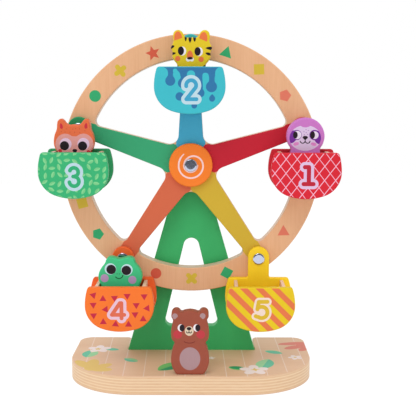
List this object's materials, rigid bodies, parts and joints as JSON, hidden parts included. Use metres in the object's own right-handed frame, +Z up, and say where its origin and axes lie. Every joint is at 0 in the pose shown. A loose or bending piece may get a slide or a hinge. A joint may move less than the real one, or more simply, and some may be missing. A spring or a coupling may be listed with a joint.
{
  "type": "ferris wheel toy",
  "caption": "Wooden toy Ferris wheel: a spoked plywood wheel on a green tower and plywood base, with hanging numbered cabins that swing level and lift-out animal figures.",
  "frame": {"origin": "middle of the base board's underside", "axes": "+Z up, the front with the printed cabin panels faces -Y, +X to the viewer's right; the wheel turns about Y"},
  "size_m": [0.2794, 0.128, 0.3356],
  "materials": {
    "base_plywood": "clear-lacquered birch plywood with a printed plank-and-leaf pattern",
    "tower_green": "satin green paint on plywood",
    "wheel_wood": "clear-lacquered plywood, spokes painted on the front",
    "hub_orange": "satin orange paint",
    "bush_brass": "turned",
    "steel_bright": "polished",
    "steel_plain": "zinc-plated",
    "inner_wood": "clear-lacquered thin plywood",
    "gondola_red": "satin red paint with a printed lattice and number",
    "gondola_blue": "satin blue paint with printed drops and number",
    "gondola_green": "satin green paint with printed leaves and number",
    "gondola_orange": "satin orange paint with printed triangles and number",
    "gondola_yellow": "satin yellow paint with printed stripes and number",
    "figure_violet": "satin violet paint with a printed face",
    "figure_yellow": "satin yellow paint with a printed face",
    "figure_orange": "satin orange paint with a printed face",
    "figure_green": "satin green paint with a printed face",
    "figure_brown": "satin brown paint with a printed face"
  },
  "bodies": {
    "stand": {"base_board": "base_plywood", "tower": "tower_green", "tower_screws": "steel_plain", "axle_bolt": "steel_bright", "axle_spacer": "inner_wood", "axle_washer": "steel_plain", "axle_nut": "steel_bright"},
    "wheel": {"wheel_plate": "wheel_wood", "hub_disc": "hub_orange", "hub_bush": "bush_brass"},
    "pivot_1": {"gondola_1_pivot_bolt": "steel_bright", "gondola_1_pivot_washer": "steel_plain", "gondola_1_pivot_nut": "steel_plain"},
    "gondola_1": {"gondola_1_front_panel": "gondola_red", "gondola_1_back_panel": "gondola_red", "gondola_1_left_side": "inner_wood", "gondola_1_right_side": "inner_wood", "gondola_1_floor": "inner_wood"},
    "pivot_2": {"gondola_2_pivot_bolt": "steel_bright", "gondola_2_pivot_washer": "steel_plain", "gondola_2_pivot_nut": "steel_plain"},
    "gondola_2": {"gondola_2_front_panel": "gondola_blue", "gondola_2_back_panel": "gondola_blue", "gondola_2_left_side": "inner_wood", "gondola_2_right_side": "inner_wood", "gondola_2_floor": "inner_wood"},
    "pivot_3": {"gondola_3_pivot_bolt": "steel_bright", "gondola_3_pivot_washer": "steel_plain", "gondola_3_pivot_nut": "steel_plain"},
    "gondola_3": {"gondola_3_front_panel": "gondola_green", "gondola_3_back_panel": "gondola_green", "gondola_3_left_side": "inner_wood", "gondola_3_right_side": "inner_wood", "gondola_3_floor": "inner_wood"},
    "pivot_4": {"gondola_4_pivot_bolt": "steel_bright", "gondola_4_pivot_washer": "steel_plain", "gondola_4_pivot_nut": "steel_plain"},
    "gondola_4": {"gondola_4_front_panel": "gondola_orange", "gondola_4_back_panel": "gondola_orange", "gondola_4_left_side": "inner_wood", "gondola_4_right_side": "inner_wood", "gondola_4_floor": "inner_wood"},
    "pivot_5": {"gondola_5_pivot_bolt": "steel_bright", "gondola_5_pivot_washer": "steel_plain", "gondola_5_pivot_nut": "steel_plain"},
    "gondola_5": {"gondola_5_front_panel": "gondola_yellow", "gondola_5_back_panel": "gondola_yellow", "gondola_5_left_side": "inner_wood", "gondola_5_right_side": "inner_wood", "gondola_5_floor": "inner_wood"},
    "sloth": {"figure_sloth": "figure_violet"},
    "tiger": {"figure_tiger": "figure_yellow"},
    "fox": {"figure_fox": "figure_orange"},
    "frog": {"figure_frog": "figure_green"},
    "bear": {"figure_bear": "figure_brown"}
  },
  "joints": [
    {"name": "wheel_spin", "type": "hinge", "parent": "stand", "child": "wheel", "pos_m": [0, 0.007, 0.209], "axis": [0, 1, 0], "continuous": true},
    {"name": "gondola_1_level", "type": "hinge", "parent": "wheel", "child": "pivot_1", "pos_m": [0.10718, 0, 0.24383], "axis": [0, 1, 0], "continuous": true},
    {"name": "gondola_1_swing", "type": "hinge", "parent": "pivot_1", "child": "gondola_1", "pos_m": [0.10718, -0.005, 0.24383], "axis": [0, 1, 0], "continuous": true},
    {"name": "gondola_2_level", "type": "hinge", "parent": "wheel", "child": "pivot_2", "pos_m": [0, 0, 0.3217], "axis": [0, 1, 0], "continuous": true},
    {"name": "gondola_2_swing", "type": "hinge", "parent": "pivot_2", "child": "gondola_2", "pos_m": [0, -0.005, 0.3217], "axis": [0, 1, 0], "continuous": true},
    {"name": "gondola_3_level", "type": "hinge", "parent": "wheel", "child": "pivot_3", "pos_m": [-0.10718, 0, 0.24383], "axis": [0, 1, 0], "continuous": true},
    {"name": "gondola_3_swing", "type": "hinge", "parent": "pivot_3", "child": "gondola_3", "pos_m": [-0.10718, -0.005, 0.24383], "axis": [0, 1, 0], "continuous": true},
    {"name": "gondola_4_level", "type": "hinge", "parent": "wheel", "child": "pivot_4", "pos_m": [-0.06624, 0, 0.11782], "axis": [0, 1, 0], "continuous": true},
    {"name": "gondola_4_swing", "type": "hinge", "parent": "pivot_4", "child": "gondola_4", "pos_m": [-0.06624, -0.005, 0.11782], "axis": [0, 1, 0], "continuous": true},
    {"name": "gondola_5_level", "type": "hinge", "parent": "wheel", "child": "pivot_5", "pos_m": [0.06624, 0, 0.11782], "axis": [0, 1, 0], "continuous": true},
    {"name": "gondola_5_swing", "type": "hinge", "parent": "pivot_5", "child": "gondola_5", "pos_m": [0.06624, -0.005, 0.11782], "axis": [0, 1, 0], "continuous": true},
    {"name": "sloth_lift", "type": "slide", "parent": "gondola_1", "child": "sloth", "axis": [0, 0, 1], "range_m": [0, 0.04]},
    {"name": "tiger_lift", "type": "slide", "parent": "gondola_2", "child": "tiger", "axis": [0, 0, 1], "range_m": [0, 0.04]},
    {"name": "fox_lift", "type": "slide", "parent": "gondola_3", "child": "fox", "axis": [0, 0, 1], "range_m": [0, 0.04]},
    {"name": "frog_lift", "type": "slide", "parent": "gondola_4", "child": "frog", "axis": [0, 0, 1], "range_m": [0, 0.04]},
    {"name": "bear_lift", "type": "slide", "parent": "stand", "child": "bear", "axis": [0, 0, 1], "range_m": [0, 0.04]}
  ],
  "couplings": [
    {"joint": "gondola_1_level", "follows": "wheel_spin", "ratio": -1},
    {"joint": "gondola_2_level", "follows": "wheel_spin", "ratio": -1},
    {"joint": "gondola_3_level", "follows": "wheel_spin", "ratio": -1},
    {"joint": "gondola_4_level", "follows": "wheel_spin", "ratio": -1},
    {"joint": "gondola_5_level", "follows": "wheel_spin", "ratio": -1}
  ]
}
